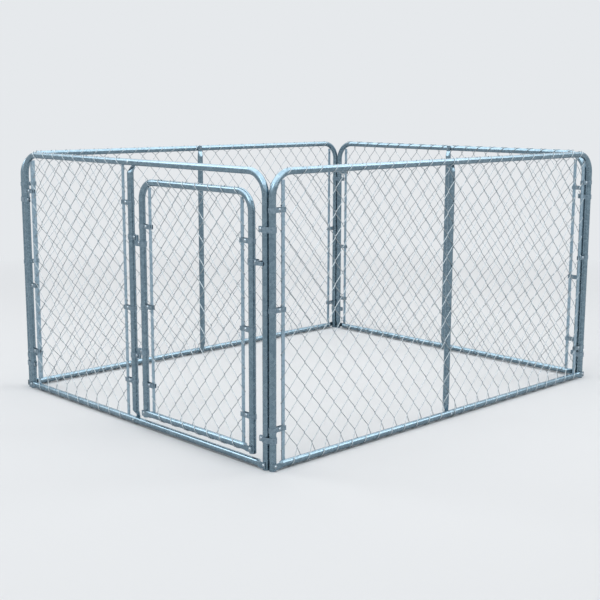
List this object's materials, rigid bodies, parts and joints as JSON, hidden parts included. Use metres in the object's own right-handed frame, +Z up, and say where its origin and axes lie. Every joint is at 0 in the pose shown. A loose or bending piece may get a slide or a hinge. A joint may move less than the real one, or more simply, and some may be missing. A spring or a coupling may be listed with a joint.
{
  "type": "outdoor dog kennel run",
  "caption": "Free-standing outdoor dog run of bent galvanised tube panels filled with chain link, clamped at the corners, with a hinged gate and a lifting fork latch.",
  "frame": {"origin": "on the ground at the middle of the run's overall footprint", "axes": "+Z up, +Y from the gate panel to the back panel along the longer side, +X towards the gate's latch side; the gate faces -Y"},
  "size_m": [1.907, 2.3118, 1.2223],
  "materials": {
    "galvanised_tube": "galvanised, satin",
    "galvanised_wire": "galvanised, bright",
    "pressed_steel": "galvanised, dull",
    "zinc_fastener": "zinc plated"
  },
  "bodies": {
    "panels": {"front_hoop": "galvanised_tube", "right_hoop": "galvanised_tube", "back_hoop": "galvanised_tube", "left_hoop": "galvanised_tube", "front_bottom_rail": "galvanised_tube", "right_bottom_rail": "galvanised_tube", "back_bottom_rail": "galvanised_tube", "left_bottom_rail": "galvanised_tube", "right_brace": "galvanised_tube", "back_brace": "galvanised_tube", "left_brace": "galvanised_tube", "gate_divider": "galvanised_tube", "front_mesh": "galvanised_wire", "right_mesh": "galvanised_wire", "back_mesh": "galvanised_wire", "left_mesh": "galvanised_wire", "front_tension_bars": "pressed_steel", "right_tension_bars": "pressed_steel", "back_tension_bars": "pressed_steel", "left_tension_bars": "pressed_steel", "front_tension_bands": "pressed_steel", "right_tension_bands": "pressed_steel", "back_tension_bands": "pressed_steel", "left_tension_bands": "pressed_steel", "band_bolts": "zinc_fastener", "band_nuts": "zinc_fastener", "front_right_clamps": "pressed_steel", "front_left_clamps": "pressed_steel", "back_right_clamps": "pressed_steel", "back_left_clamps": "pressed_steel", "clamp_bolts": "zinc_fastener", "clamp_nuts": "zinc_fastener", "frame_bolts": "zinc_fastener", "frame_nuts": "zinc_fastener", "hinge_post_straps": "pressed_steel", "hinge_pintles": "pressed_steel", "hinge_post_bolts": "zinc_fastener", "hinge_post_nuts": "zinc_fastener"},
    "gate": {"gate_hoop": "galvanised_tube", "gate_bottom_rail": "galvanised_tube", "gate_mesh": "galvanised_wire", "gate_tension_bars": "pressed_steel", "gate_tension_bands": "pressed_steel", "gate_bolts": "zinc_fastener", "gate_nuts": "zinc_fastener", "hinge_gate_straps": "pressed_steel", "hinge_eyes": "pressed_steel", "hinge_gate_bolts": "zinc_fastener", "hinge_gate_nuts": "zinc_fastener", "latch_collar": "pressed_steel", "latch_bolt": "zinc_fastener", "latch_nut": "zinc_fastener"},
    "latch": {"latch_fork": "pressed_steel"}
  },
  "joints": [
    {"name": "gate_swing", "type": "hinge", "parent": "panels", "child": "gate", "pos_m": [0.0435, -1.13359, 0.5985], "axis": [0, 0, 1], "range_deg": [-110, 110]},
    {"name": "latch_lift", "type": "hinge", "parent": "gate", "child": "latch", "pos_m": [0.8438, -1.13359, 0.844], "axis": [0, -1, 0], "range_deg": [0, 90]}
  ]
}
